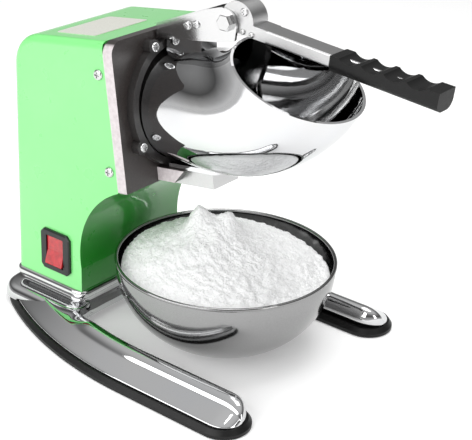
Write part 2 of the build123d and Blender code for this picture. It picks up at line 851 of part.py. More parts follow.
def grip_core():
    """Steel rod from inside the arm through the grip."""
    start = lever_world(core_start, -arm_drop)
    frame = Plane(origin=start, x_dir=(1, 0, 0), z_dir=lever_frame.x_dir).location
    return frame * Cylinder(core_radius, grip_end - core_start - 14, align=LOW)


def lever_grip():
    """Rubber hand grip with finger waves along its top."""
    outline = Polyline(
        (grip_start, grip_low), (grip_end, grip_low),
        (grip_end, grip_top + grip_rise), (grip_start, grip_top), close=True,
    )
    grip = lever_slab(outline, arm_width / 2 + grip_wall)
    long_edges = grip.edges().filter_by(lambda e: e.length > grip_end - grip_start - 1)
    low_edges = long_edges.sort_by(Axis.Z)[:2]
    grip = fillet(low_edges, 8.5)
    radius = (groove_width ** 2 / 4 + groove_depth ** 2) / (2 * groove_depth)
    for index in range(groove_count):
        forward = groove_first + index * groove_pitch
        top = grip_top + grip_rise * (forward - grip_start) / (grip_end - grip_start)
        grip -= lever_bore(forward, top + radius - groove_depth, radius)
    grip -= lever_box(grip_start - 1, arm_end, arm_low, arm_top, arm_width / 2)
    start = lever_world(core_start, -arm_drop)
    frame = Plane(origin=start, x_dir=(1, 0, 0), z_dir=lever_frame.x_dir).location
    return grip - frame * Cylinder(core_radius, grip_end - core_start - 14, align=LOW)


def pusher_arm():
    """Hooked steel arm: it passes the chamber's rear rim and carries the pusher."""
    face = -pusher_thickness / 2
    outline = [
        (10, 1.0), (10, arm_low + 1), (21.8, arm_low + 1), (22.0, -19), (18.5, -32), (7.5, -45.5),
        pusher_point(26, face), pusher_point(2, face), (16, -64), (31, -44.5), (35.5, -24), (35.5, 1.0),
    ]
    hook = lever_slab(Polyline(*outline, close=True), hook_half)
    for forward, up in knuckle_screw_places[:2]:
        hook -= lever_bore(forward, up, 1.5 + screw_gap)
    return hook


def pusher_plate():
    """Round plate that drives the ice against the blade disc, with a raised rim and teeth."""
    centre = lever_world(*pusher_point(0, -pusher_thickness / 2))
    ahead = lever_world(*pusher_point(0, pusher_thickness / 2)) - centre
    frame = Plane(origin=centre, x_dir=(1, 0, 0), z_dir=ahead).location
    plate = Cylinder(pusher_radius, pusher_thickness, align=LOW)
    plate = chamfer(plate.edges(), 0.8)
    for turn in range(12):
        plate += Rot(0, 0, turn * 30) * Pos(27, 0, pusher_thickness) * Cone(3, 1.2, 4, align=LOW)
    for turn in range(6):
        plate += Rot(0, 0, turn * 60 + 15) * Pos(14, 0, pusher_thickness) * Cone(3, 1.2, 4, align=LOW)
    return frame * plate


# ---------- base ----------

body_middle_y = (body_front_y + body_rear_bottom_y) / 2
body_length = body_rear_bottom_y - body_front_y
pedestal_top = 25.0
bead_out = 3.0
bead_in = 12.0
pedestal_steps = [(pedestal_top, -1), (19, 1.5), (13, 7), (rubber_height, 16)]
bolt_places = [(x, body_middle_y + y) for x in (-46, 46) for y in (-27, 27)]


def base_bolt_holes():
    return [Pos(x, y, 0) * Cylinder(3 + screw_gap, 60, align=LOW) for x, y in bolt_places]


def leg_path():
    """Middle line of the horseshoe: straight leg, long side bend, tight rear bend, straight back."""
    sweep_angle = math.radians(leg_side_sweep)
    centre_x = leg_x - leg_side_radius
    turn_x = centre_x + leg_side_radius * math.cos(sweep_angle)
    turn_y = leg_bend_y + leg_side_radius * math.sin(sweep_angle)
    rear_x = turn_x - leg_rear_radius * math.cos(sweep_angle)
    rear_low = turn_y - leg_rear_radius * math.sin(sweep_angle)
    rear_y = rear_low + leg_rear_radius
    side_middle = sweep_angle / 2
    rear_middle = (sweep_angle + math.pi / 2) / 2
    tip = (leg_x, leg_tip_y)
    bend = (leg_x, leg_bend_y)
    on_side = (
        centre_x + leg_side_radius * math.cos(side_middle),
        leg_bend_y + leg_side_radius * math.sin(side_middle),
    )
    turn = (turn_x, turn_y)
    on_rear = (
        rear_x + leg_rear_radius * math.cos(rear_middle),
        rear_low + leg_rear_radius * math.sin(rear_middle),
    )
    back = (rear_x, rear_y)

    def left(point):
        return (-point[0], point[1])

    curves = [
        Line(tip, bend),
        ThreePointArc(bend, on_side, turn),
        ThreePointArc(turn, on_rear, back),
        Line(back, left(back)),
        ThreePointArc(left(back), left(on_rear), left(turn)),
        ThreePointArc(left(turn), left(on_side), left(bend)),
        Line(left(bend), left(tip)),
    ]
    return Wire([edge for curve in curves for edge in curve.edges()])


def leg_band(outline):
    """Horseshoe solid from half of its cross-section, given as points (across, height)."""
    half = make_face(outline)
    frame = Plane(origin=(leg_x, leg_tip_y, 0), x_dir=(1, 0, 0), z_dir=(0, -1, 0))
    whole = frame * (half + mirror(half, about=Plane.YZ))
    band = sweep(whole, path=leg_path())
    tip = revolve(Plane.XZ * half, Axis.Z)
    return band + Pos(leg_x, leg_tip_y, 0) * tip + Pos(-leg_x, leg_tip_y, 0) * tip


def arch_outline(half_width, low, high):
    rise = high - low
    radius = (half_width ** 2 + rise ** 2) / (2 * rise)
    bend = math.asin(min(1.0, half_width / radius)) / 2
    middle = (radius * math.sin(bend), high - radius * (1 - math.cos(bend)))
    return [
        Line((0, low), (half_width, low)),
        ThreePointArc((half_width, low), middle, (0, high)),
        Line((0, high), (0, low)),
    ]


def pedestal(steps):
    faces = []
    for height, grow in steps:
        size = (body_width + 2 * grow, body_length + 2 * grow)
        faces.append(Pos(0, body_middle_y, height) * RectangleRounded(*size, 14 + grow))
    return loft(faces)


def base_casting():
    """Bright hollow casting: horseshoe legs, and a pedestal that flares down to them."""
    casting = leg_band(arch_outline(leg_chrome_width / 2, rubber_height, leg_height))
    casting += pedestal(pedestal_steps)
    hollow = [(height - base_wall - 1, grow - base_wall) for height, grow in pedestal_steps]
    casting -= pedestal(hollow)
    half = leg_chrome_width / 2 - base_wall
    casting -= leg_band(arch_outline(half, rubber_height - 1, leg_height - base_wall))
    seat = RectangleRounded(body_width + 2 * bead_out + 1, body_length + 2 * bead_out + 1, 8)
    casting -= extrude(Pos(0, body_middle_y, pedestal_top) * seat, 20)
    return casting - base_bolt_holes()


def base_rubber():
    half = leg_foot_width / 2
    return leg_band(Polyline(
        (0, 0), (half - 1, 0), (half, 1), (half, rubber_height - 4), (half - 3, rubber_height),
        (0, rubber_height), close=True,
    ))


def base_trim():
    """Bright bead between the base and the housing, with a ledge for the floor plate."""
    height = body_bottom_z - pedestal_top
    outer = extrude(Pos(0, body_middle_y, pedestal_top) * RectangleRounded(
        body_width + 2 * bead_out, body_length + 2 * bead_out, 8,
    ), height)
    rim = outer.edges().group_by(Axis.Z)
    outer = fillet(rim[0] + rim[-1], height * 0.42)
    inner = Box(body_width - 2 * bead_in, body_length - 2 * bead_in, 60)
    return outer - Pos(0, body_middle_y, pedestal_top) * inner


def base_bolts():
    bolt = hex_screw(10, 5, 3, floor_z - pedestal_top + base_wall + 7)
    return [Pos(x, y, pedestal_top - base_wall - 1) * Rot(180, 0, 0) * bolt for x, y in bolt_places]


def base_nuts():
    nut = extrude(RegularPolygon(5, 6, major_radius=False), 5) - Cylinder(3, 40)
    return [Pos(x, y, floor_z) * nut for x, y in bolt_places]


# ---------- bowl ----------

def bowl():
    """Deep round steel bowl with a rolled rim and a flat foot."""
    side_start = (bowl_radius - 2.5, 0.66 * bowl_height)
    bend = (0.83 * bowl_radius, 0.27 * bowl_height)
    inner = bowl_wall
    outline = [
        Line((0, 0), (bowl_foot_radius, 0)),
        ThreePointArc((bowl_foot_radius, 0), bend, side_start),
        Line(side_start, (bowl_radius, bowl_height)),
        Line((bowl_radius, bowl_height), (bowl_radius - inner, bowl_height)),
        Line((bowl_radius - inner, bowl_height), (side_start[0] - inner, side_start[1])),
        ThreePointArc(
            (side_start[0] - inner, side_start[1]), (bend[0] - 0.8 * inner, bend[1] + 0.7 * inner),
            (bowl_foot_radius, inner),
        ),
        Line((bowl_foot_radius, inner), (0, inner)),
        Line((0, inner), (0, 0)),
    ]
    shell = revolve(Plane.XZ * make_face(outline), Axis.Z)
    rim = revolve(Plane.XZ * Pos(bowl_radius - 1.6, bowl_height - 1.6) * Circle(1.6), Axis.Z)
    return Pos(0, bowl_y, 0) * (shell + rim)


# ---------- write every piece ----------

save("housing_shell", housing_shell())
save("side_screws", *side_screws())
save("rating_label", rating_label())
save("front_plate", front_plate())
save("ice_chamber", ice_chamber())
save("chamber_clamp_ring", clamp_ring())
save("clamp_ring_screws", *clamp_screws())
save("chute_spout", chute_spout())
save("blade_disc", blade_disc())
save("blades", *blades())
save("blade_screws", *blade_screws())
save("disc_nut", disc_nut())
save("motor_front_bell", front_bell())
save("motor_rear_bell", rear_bell())
save("motor_bolts", *motor_bolts())
save("stator_core", stator_core())
save("stator_windings", *windings())
save("rotor_core", rotor_core())
save("motor_shaft", motor_shaft())
save("front_bearing", bearing(motor_front - bell_wall - bearing_width))
save("rear_bearing", bearing(motor_back + bell_wall))
save("shaft_seal", shaft_seal())
save("cooling_fan", cooling_fan())
save("capacitor", capacitor())
save("capacitor_clip", capacitor_clip())
save("terminal_block", terminal_block())
save("floor_plate", floor_plate())
save("cord_gland", cord_gland())
save("switch_bezel", switch_bezel())
save("switch_body", switch_body())
save("switch_rocker", switch_rocker())
save("hinge_bracket", hinge_bracket())
save("bracket_screws", *bracket_screws())
save("pivot_bolt", pivot_bolt())
save("pivot_nut", pivot_nut())
save("lever_knuckle", knuckle())
save("knuckle_screws", *knuckle_screws())
save("lever_arm", lever_arm())
save("grip_core", grip_core())
save("lever_grip", lever_grip())
save("pusher_arm", pusher_arm())
save("pusher_plate", pusher_plate())
save("base_casting", base_casting())
save("base_rubber", base_rubber())
save("base_trim", base_trim())
save("base_bolts", *base_bolts())
save("base_nuts", *base_nuts())
save("bowl", bowl())
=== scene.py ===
import json
import math
import random

import bpy
import bmesh
from mathutils import Matrix, Quaternion, Vector, noise


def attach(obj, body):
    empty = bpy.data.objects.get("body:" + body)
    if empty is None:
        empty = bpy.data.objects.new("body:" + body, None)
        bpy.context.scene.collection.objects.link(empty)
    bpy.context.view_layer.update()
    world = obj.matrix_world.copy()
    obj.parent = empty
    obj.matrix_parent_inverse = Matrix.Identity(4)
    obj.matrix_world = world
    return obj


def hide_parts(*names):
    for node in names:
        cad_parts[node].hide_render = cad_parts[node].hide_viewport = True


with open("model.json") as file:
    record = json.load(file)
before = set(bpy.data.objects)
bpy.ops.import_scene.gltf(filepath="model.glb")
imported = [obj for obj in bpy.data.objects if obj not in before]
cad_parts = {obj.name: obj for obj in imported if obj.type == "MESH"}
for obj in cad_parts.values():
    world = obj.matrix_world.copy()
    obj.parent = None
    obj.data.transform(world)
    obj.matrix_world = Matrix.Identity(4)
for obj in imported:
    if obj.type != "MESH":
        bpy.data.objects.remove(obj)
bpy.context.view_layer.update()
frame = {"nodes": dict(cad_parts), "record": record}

MM = 0.001

# ---------- shader helpers ----------


class Shader:
    """A node material under construction; coordinates are the object's own, in metres."""

    def __init__(self, name):
        self.material = bpy.data.materials.new(name)
        self.material.use_nodes = True
        self.nodes = self.material.node_tree.nodes
        self.links = self.material.node_tree.links
        self.body = self.nodes["Principled BSDF"]
        self.place = self.nodes.new("ShaderNodeTexCoord").outputs["Object"]

    def set(self, **values):
        for key, value in values.items():
            self.body.inputs[key.replace("_", " ")].default_value = value
        return self

    def link(self, output, key):
        self.links.new(output, self.body.inputs[key])
        return self

    def scaled(self, x, y, z):
        node = self.nodes.new("ShaderNodeMapping")
        node.inputs["Scale"].default_value = (x, y, z)
        self.links.new(self.place, node.inputs["Vector"])
        return node.outputs["Vector"]

    def noise(self, scale, detail=3.0, rough=0.5, at=None):
        node = self.nodes.new("ShaderNodeTexNoise")
        node.inputs["Scale"].default_value = scale
        node.inputs["Detail"].default_value = detail
        node.inputs["Roughness"].default_value = rough
        self.links.new(at or self.place, node.inputs["Vector"])
        return node.outputs["Fac"]

    def cells(self, scale, feature="F1", at=None):
        node = self.nodes.new("ShaderNodeTexVoronoi")
        node.feature = feature
        node.inputs["Scale"].default_value = scale
        self.links.new(at or self.place, node.inputs["Vector"])
        return node.outputs["Distance"]

    def spread(self, value, low, high, start=0.0, end=1.0):
        """Maps value from start..end to low..high."""
        node = self.nodes.new("ShaderNodeMapRange")
        node.inputs["From Min"].default_value = start
        node.inputs["From Max"].default_value = end
        node.inputs["To Min"].default_value = low
        node.inputs["To Max"].default_value = high
        self.links.new(value, node.inputs["Value"])
        return node.outputs["Result"]

    def colours(self, value, *stops):
        node = self.nodes.new("ShaderNodeValToRGB")
        ramp = node.color_ramp
        for index, (at, colour) in enumerate(stops):
            stop = ramp.elements[index] if index < 2 else ramp.elements.new(at)
            stop.position = at
            stop.color = (*colour, 1)
        self.links.new(value, node.inputs["Fac"])
        return node.outputs["Color"]

    def mix(self, factor, first, second):
        node = self.nodes.new("ShaderNodeMix")
        node.data_type = "RGBA"
        self.links.new(factor, node.inputs["Factor"])
        for key, value in (("A", first), ("B", second)):
            socket = [s for s in node.inputs if s.name == key and s.type == "RGBA"][0]
            if isinstance(value, tuple):
                socket.default_value = (*value, 1)
            else:
                self.links.new(value, socket)
        return [s for s in node.outputs if s.type == "RGBA"][0]

    def maths(self, operation, first, second):
        node = self.nodes.new("ShaderNodeMath")
        node.operation = operation
        for socket, value in zip(node.inputs, (first, second)):
            if isinstance(value, (int, float)):
                socket.default_value = value
            else:
                self.links.new(value, socket)
        return node.outputs["Value"]

    def normal(self, axis):
        """How far the surface faces along an axis, from -1 to 1."""
        geometry = self.nodes.new("ShaderNodeNewGeometry")
        split = self.nodes.new("ShaderNodeSeparateXYZ")
        self.links.new(geometry.outputs["Normal"], split.inputs["Vector"])
        return split.outputs[axis]

    def bump(self, height, depth, strength=1.0):
        node = self.nodes.new("ShaderNodeBump")
        node.inputs["Strength"].default_value = strength
        node.inputs["Distance"].default_value = depth
        self.links.new(height, node.inputs["Height"])
        self.links.new(node.outputs["Normal"], self.body.inputs["Normal"])
        return self


# ---------- materials ----------


def green_paint():
    """Glossy enamel: the paler green on the flat sides is the paint itself, and the deeper green on the
    concave front and underside is painted shade.
    """
    s = Shader("green_paint")
    s.set(Coat_Weight=0.8, Coat_Roughness=0.05, Specular_IOR_Level=0.5)
    cloud = s.noise(9, 4)
    pale = s.colours(cloud, (0.3, (0.19, 0.70, 0.20)), (0.7, (0.22, 0.74, 0.23)))
    # painted shade: a darker copy of the green, laid on faces turned toward the front (-Y)
    painted_shade_green = s.colours(cloud, (0.3, (0.006, 0.26, 0.010)), (0.7, (0.010, 0.30, 0.014)))
    painted_shade_mask = s.spread(s.normal("Y"), 1, 0, -0.75, -0.15)
    s.link(s.mix(painted_shade_mask, pale, painted_shade_green), "Base Color")
    s.link(s.spread(s.noise(60, 5), 0.24, 0.34), "Roughness")
    s.bump(s.noise(700, 2), 0.00004, 0.35)
    return s.material


def plate_paint():
    s = Shader("plate_paint")
    speck = s.noise(900, 4)
    # painted light and shade: faces turned sideways (±X) take a bright lit colour, and the front face
    # takes a near-black shaded one
    painted_shade_face = s.colours(speck, (0.35, (0.022, 0.018, 0.017)), (0.7, (0.038, 0.031, 0.029)))
    painted_light_edge = s.colours(s.noise(300, 3), (0.3, (0.50, 0.45, 0.46)), (0.7, (0.62, 0.57, 0.58)))
    side = s.maths("ABSOLUTE", s.normal("X"), 0.0)
    painted_light_mask = s.spread(side, 0, 1, 0.55, 0.75)
    s.link(s.mix(painted_light_mask, painted_shade_face, painted_light_edge), "Base Color")
    s.link(s.spread(speck, 0.32, 0.48), "Roughness")
    s.set(Coat_Weight=0.25, Coat_Roughness=0.2)
    s.bump(s.noise(1400, 3), 0.00008, 0.5)
    return s.material


def ring_paint():
    s = Shader("ring_paint")
    speck = s.noise(800, 4)
    s.link(s.colours(speck, (0.3, (0.012, 0.011, 0.011)), (0.75, (0.030, 0.027, 0.026))), "Base Color")
    s.link(s.spread(speck, 0.25, 0.45), "Roughness")
    s.set(Coat_Weight=0.4, Coat_Roughness=0.15)
    s.bump(s.noise(1200, 3), 0.0001, 0.5)
    return s.material


def chrome(name="chrome", shade=0.70):
    s = Shader(name)
    s.set(Metallic=1.0)
    cloud = s.noise(25, 4)
    dull = (shade * 0.97, shade * 0.98, shade)
    s.link(s.colours(cloud, (0.3, dull), (0.7, (shade,) * 3)), "Base Color")
    s.link(s.spread(s.noise(90, 5), 0.02, 0.06), "Roughness")
    s.bump(s.noise(180, 2), 0.00002, 0.15)
    return s.material


def brushed(name, shade, rough, along, fine=9000.0, depth=0.00002, tint=(1, 1, 1)):
    """Metal with a grain: along gives how stretched the grain is on each axis, small is long."""
    s = Shader(name)
    s.set(Metallic=1.0)
    grain = s.noise(1.0, 4, 0.6, at=s.scaled(*[fine * a for a in along]))
    low = tuple(shade * 0.86 * t for t in tint)
    high = tuple(min(1.0, shade * 1.12 * t) for t in tint)
    s.link(s.colours(grain, (0.3, low), (0.7, high)), "Base Color")
    s.link(s.spread(grain, rough * 0.8, rough * 1.3), "Roughness")
    s.bump(grain, depth, 0.5)
    return s.material


def cast_metal(name, shade, rough=0.5):
    s = Shader(name)
    s.set(Metallic=1.0)
    grain = s.noise(900, 5)
    s.link(s.colours(grain, (0.3, (shade * 0.8,) * 3), (0.7, (shade,) * 3)), "Base Color")
    s.link(s.spread(grain, rough * 0.8, rough * 1.2), "Roughness")
    s.bump(grain, 0.0002, 0.6)
    return s.material


def plastic(name, colour, rough=0.4, grain=1500.0, depth=0.00005, coat=0.0):
    s = Shader(name)
    texture = s.noise(grain, 3)
    low = tuple(c * 0.85 for c in colour)
    s.link(s.colours(texture, (0.3, low), (0.7, colour)), "Base Color")
    s.link(s.spread(texture, rough * 0.85, rough * 1.2), "Roughness")
    s.set(Coat_Weight=coat, Coat_Roughness=0.1)
    s.bump(texture, depth, 0.5)
    return s.material


def rubber(name, shade, rough):
    s = Shader(name)
    cloud = s.noise(400, 5)
    s.link(s.colours(cloud, (0.3, (shade * 0.8,) * 3), (0.7, (shade * 1.2,) * 3)), "Base Color")
    s.link(s.spread(cloud, rough * 0.8, rough * 1.25), "Roughness")
    s.set(Specular_IOR_Level=0.28)
    s.bump(s.noise(2500, 3), 0.00004, 0.5)
    return s.material


def red_plastic():
    s = Shader("red_plastic")
    glow = s.noise(200, 2)
    s.link(s.colours(glow, (0.3, (0.34, 0.005, 0.010)), (0.7, (0.54, 0.016, 0.024))), "Base Color")
    s.link(s.spread(glow, 0.12, 0.2), "Roughness")
    s.set(Coat_Weight=0.6, Coat_Roughness=0.04, Subsurface_Weight=0.3, Subsurface_Scale=0.002)
    s.set(Subsurface_Radius=(1.0, 0.1, 0.05))
    return s.material


def copper():
    s = Shader("copper")
    s.set(Metallic=0.8)
    wire = s.noise(1.0, 3, at=s.scaled(2500, 300, 300))
    s.link(s.colours(wire, (0.3, (0.30, 0.10, 0.04)), (0.7, (0.55, 0.24, 0.12))), "Base Color")
    s.link(s.spread(wire, 0.25, 0.45), "Roughness")
    s.bump(wire, 0.0002, 0.8)
    return s.material


def shaved_ice():
    s = Shader("shaved_ice")
    grain = s.cells(420)
    fine = s.noise(1800, 4)
    s.link(s.colours(grain, (0.0, (1.0, 1.0, 1.0)), (0.9, (0.93, 0.94, 0.945))), "Base Color")
    s.link(s.spread(fine, 0.12, 0.45), "Roughness")
    s.set(Subsurface_Weight=0.5, Subsurface_Scale=0.003, IOR=1.31)
    # painted light: a faint white glow brightens the ice beyond what the lamps give
    s.set(Emission_Color=(1.0, 1.0, 1.0, 1.0), Emission_Strength=0.10)
    s.set(Subsurface_Radius=(1.0, 1.0, 1.0))
    height = s.maths("ADD", grain, fine)
    s.bump(height, 0.0009, 0.7)
    return s.material


# ---------- dress the CAD nodes ----------

looks = {
    "green_paint": green_paint(),
    "plate_paint": plate_paint(),
    "ring_paint": ring_paint(),
    "label": plastic("label", (0.66, 0.66, 0.60), 0.35, 700, 0.00002),
    "chrome": chrome(),
    "polished_steel": brushed("polished_steel", 0.62, 0.12, (0.15, 1.0, 1.0)),
    "steel": brushed("steel", 0.62, 0.22, (1.0, 1.0, 0.2)),
    "blade_steel": brushed("blade_steel", 0.66, 0.18, (0.1, 1.0, 1.0)),
    "brushed_aluminium": brushed("brushed_aluminium", 0.60, 0.30, (1.0, 0.03, 1.0)),
    "cast_aluminium": cast_metal("cast_aluminium", 0.55),
    "lamination": brushed("lamination", 0.16, 0.4, (0.2, 1.6, 0.2), 3000),
    "copper": copper(),
    "bearing_steel": brushed("bearing_steel", 0.55, 0.15, (1.0, 0.1, 1.0)),
    "rubber": rubber("rubber", 0.004, 0.42),
    "black_plastic": plastic("black_plastic", (0.004, 0.004, 0.005), 0.30, 1500, 0.00005, 0.03),
    "red_plastic": red_plastic(),
    "white_plastic": plastic("white_plastic", (0.62, 0.62, 0.58), 0.4),
    "bowl_steel": brushed("bowl_steel", 0.29, 0.10, (0.15, 0.15, 1.0), 5000, 0.000004),
    "base_chrome": chrome("base_chrome", 0.62),
    "shaved_ice": shaved_ice(),
}

slot_of = {part["node"]: part["material_slot"] for part in frame["record"]["subparts"]}


def dress(obj, material):
    obj.data.materials.clear()
    obj.data.materials.append(material)


for name, obj in frame["nodes"].items():
    dress(obj, looks[slot_of[name]])

# ---------- pieces shaped in mesh ----------

# millimetres from here on, as in the CAD
bowl_middle = (0.0, -12.5)
bowl_radius = 100.0
bowl_height = 86.5
bowl_wall = 1.2
lip_radius = 1.6
bowl_steps = 160

ice_reach = 94.0
ice_rings = 110
ice_steps = 260
ice_crown = (10.0, 26.0)
ice_slope_length = 98.0
# each peak's place from the bowl's middle, its height and its width
ice_peaks = ((4.0, 37.0, 15.0, 10.0), (21.0, 14.0, 14.0, 9.0), (10.0, 26.0, 5.0, 30.0))
ice_skirt_radius = 76.0
ice_skirt_height = 44.0
ice_foot_height = 30.0
flake_count = 2600
flake_corners = [
    (-1, -0.5, -0.2), (1, -0.6, -0.15), (0.7, 0.7, -0.2), (-0.6, 0.5, -0.1), (0.1, 0.0, 0.45),
]

leg_x = 108.7
leg_tip_y = -99.5
leg_bend_y = -0.6
side_arc = ((-239.3, -0.6), 348.0)
corner_arc = ((23.5, 140.9), 49.5)
arc_join = (67.1, 164.4)
leg_half = 19.5
leg_low = 8.0
tip_steps = 14

# the leg's cut: how far inward from its middle line, and how high
leg_cut = [
    (-19.5, 8.0), (-19.4, 9.2), (-18.4, 10.3), (-14.0, 12.6), (-9.5, 14.9), (-5.0, 17.2), (-2.4, 18.5),
    (-1.2, 19.3), (-0.2, 20.5), (1.4, 22.3), (4.0, 24.3), (7.0, 25.5), (9.8, 25.8), (12.6, 25.1),
    (15.0, 23.0), (17.0, 19.0), (18.6, 13.6), (19.5, 8.0),
]
# the same cut where the pedestal stands on the leg; one turns into the other between two Y values
pedestal_cut = [
    (-19.5, 8.0), (-19.4, 9.2), (-18.4, 10.3), (-14.0, 12.6), (-9.5, 14.9), (-5.0, 17.2), (-2.4, 18.5),
    (-1.0, 19.0), (0.8, 19.0), (3.0, 18.9), (6.0, 18.8), (9.0, 18.8), (12.0, 18.9), (14.5, 19.0),
    (16.5, 18.6), (18.0, 16.6), (19.0, 13.0), (19.5, 8.0),
]
pedestal_blend = (66.0, 98.0)

# half width in X, low Y, high Y and corner radius
pedestal_box = (66.0, 104.3, 186.0, 10.0)
trim_box = (68.0, 102.3, 188.0, 7.0)
trim_proud = 3.0
trim_tuck = -4.0
trim_middle = 29.5
trim_half = 4.4


def add_piece(name, points, faces, material, body, node=None, smooth=True):
    """A closed mesh from points in millimetres."""
    mesh = bpy.data.meshes.new(name)
    mesh.from_pydata([(x * MM, y * MM, z * MM) for x, y, z in points], [], faces)
    mesh.validate()
    work = bmesh.new()
    work.from_mesh(mesh)
    bmesh.ops.remove_doubles(work, verts=work.verts, dist=0.000005)
    bmesh.ops.recalc_face_normals(work, faces=work.faces)
    work.to_mesh(mesh)
    work.free()
    for polygon in mesh.polygons:
        polygon.use_smooth = smooth
    piece = bpy.data.objects.new(name, mesh)
    bpy.context.scene.collection.objects.link(piece)
    mesh.materials.append(material)
    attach(piece, body)
    if node:
        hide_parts(node)
    return piece


def spin(profile, steps, middle):
    """Points and faces of a profile turned about an upright axis."""
    points = []
    for step in range(steps):
        angle = 2 * math.pi * step / steps
        for radius, height in profile:
            x = middle[0] + radius * math.cos(angle)
            y = middle[1] + radius * math.sin(angle)
            points.append((x, y, height))
    count = len(profile)
    faces = []
    for step in range(steps):
        here = step * count
        there = (step + 1) % steps * count
        for index in range(count):
            after = (index + 1) % count
            faces.append((here + index, there + index, there + after, here + after))
    return points, faces


def bowl_outline(offset):
    """The bowl's outer wall moved inward by offset, from the foot up to the rim."""
    line = []
    for step in range(29):
        turn = math.radians(5 + 81 * step / 28)
        radius = 98.6 * math.sin(turn) ** 0.86
        height = 76.0 * (1 - math.cos(turn) ** 1.12)
        line.append((radius - offset * math.sin(turn), height + offset * math.cos(turn)))
    line.append((bowl_radius - 0.5 - offset, bowl_height - 4.0))
    return line


def add_bowl():
    """The bowl, from its flat foot up the outside, over the rolled lip and down the inside."""
    outer = [(0.0, 0.0), (28.0, 0.0), (33.0, 0.2), (35.0, 1.6)]
    outer += [p for p in bowl_outline(0.0) if p[0] > 36.0]
    lip = []
    for step in range(13):
        turn = math.radians(-60 + 290 * step / 12)
        across = lip_radius * math.cos(turn)
        rise = lip_radius * math.sin(turn)
        lip.append((bowl_radius - lip_radius + across, bowl_height - lip_radius + rise))
    inner = [p for p in bowl_outline(bowl_wall) if p[0] > 37.0][::-1]
    inner += [(34.0, 2.6), (28.0, 1.4), (0.0, 1.4)]
    points, faces = spin(outer + lip + inner, bowl_steps, bowl_middle)
    add_piece("bowl_skin", points, faces, looks["bowl_steel"], "bowl", "bowl")


def heap(x, y):
    """How high the ice stands at a place given from the bowl's middle."""
    far = math.hypot(x, y) / ice_reach
    slope = math.hypot(x - ice_crown[0], y - ice_crown[1]) / ice_slope_length
    height = 72.0 + 3.0 * (1 - far ** 2) + 31.0 * max(0.0, 1 - slope)
    for px, py, tall, wide in ice_peaks:
        height += tall * math.exp(-((x - px) ** 2 + (y - py) ** 2) / wide ** 2)
    lump = noise.fractal(Vector((x * 0.045, y * 0.045, 3.1)), 0.9, 2.1, 4)
    grain = noise.fractal(Vector((x * 0.22, y * 0.22, 7.7)), 0.7, 2.3, 5)
    return height + lump * 2.6 * (1 - far ** 6) + grain * 1.5


def add_ice_heap():
    """Shaved ice heaped toward the back of the bowl, with two peaks."""
    middle_x, middle_y = bowl_middle
    steps = ice_steps
    points = [(middle_x, middle_y, heap(0.0, 0.0))]
    for ring in range(1, ice_rings + 1):
        radius = ice_reach * ring / ice_rings
        for step in range(steps):
            angle = 2 * math.pi * (step + 0.5 * (ring % 2)) / steps
            x = radius * math.cos(angle)
            y = radius * math.sin(angle)
            jitter = noise.noise(Vector((x * 0.5, y * 0.5, 11.0))) * 0.35
            points.append((middle_x + x + jitter, middle_y + y - jitter, heap(x, y)))
    faces = [(0, 1 + step, 1 + (step + 1) % steps) for step in range(steps)]
    for ring in range(ice_rings - 1):
        here = 1 + ring * steps
        there = here + steps
        for step in range(steps):
            after = (step + 1) % steps
            faces.append((here + step, there + step, there + after, here + after))
    last = 1 + (ice_rings - 1) * steps
    skirt = len(points)
    for step in range(steps):
        angle = 2 * math.pi * step / steps
        x = middle_x + ice_skirt_radius * math.cos(angle)
        y = middle_y + ice_skirt_radius * math.sin(angle)
        points.append((x, y, ice_skirt_height))
    for step in range(steps):
        after = (step + 1) % steps
        faces.append((last + step, skirt + step, skirt + after, last + after))
    foot = len(points)
    points.append((middle_x, middle_y, ice_foot_height))
    faces += [(skirt + (step + 1) % steps, skirt + step, foot) for step in range(steps)]
    add_piece("ice_heap", points, faces, looks["shaved_ice"], "bowl")


def add_ice_flakes():
    """Loose flakes strewn over the heap."""
    draw = random.Random(41)
    points = []
    faces = []
    for _ in range(flake_count):
        far = ice_reach * math.sqrt(draw.random()) * 0.97
        angle = draw.random() * 2 * math.pi
        x = far * math.cos(angle)
        y = far * math.sin(angle)
        size = draw.uniform(0.35, 1.15)
        heading = Matrix.Rotation(draw.uniform(0, 6.28), 3, "Z")
        tilt = Matrix.Rotation(draw.uniform(-1.2, 1.2), 3, "X")
        turn = heading @ tilt
        base = len(points)
        lift = heap(x, y) + 0.3 * size
        for corner in flake_corners:
            spot = turn @ (Vector(corner) * size * draw.uniform(0.75, 1.25))
            points.append((bowl_middle[0] + x + spot.x, bowl_middle[1] + y + spot.y, lift + spot.z))
        faces.append((base + 3, base + 2, base + 1, base))
        for side in range(4):
            faces.append((base + side, base + (side + 1) % 4, base + 4))
    add_piece("ice_flakes", points, faces, looks["shaved_ice"], "bowl", smooth=False)


def leg_line():
    """The base's middle line with its inward direction, from the left tip to the middle of the back."""
    line = []
    for step in range(25):
        line.append(((-leg_x, leg_tip_y + (leg_bend_y - leg_tip_y) * step / 24), (1.0, 0.0)))
    middle, radius = side_arc
    sweep = math.atan2(arc_join[1] - middle[1], arc_join[0] - middle[0])
    for step in range(1, 31):
        turn = sweep * step / 30
        spot = (-(middle[0] + radius * math.cos(turn)), middle[1] + radius * math.sin(turn))
        line.append((spot, (math.cos(turn), -math.sin(turn))))
    middle, radius = corner_arc
    for step in range(1, 17):
        turn = sweep + (math.pi / 2 - sweep) * step / 16
        spot = (-(middle[0] + radius * math.cos(turn)), middle[1] + radius * math.sin(turn))
        line.append((spot, (math.cos(turn), -math.sin(turn))))
    for step in range(1, 5):
        line.append(((-corner_arc[0][0] * (1 - step / 4), middle[1] + radius), (0.0, -1.0)))
    return line


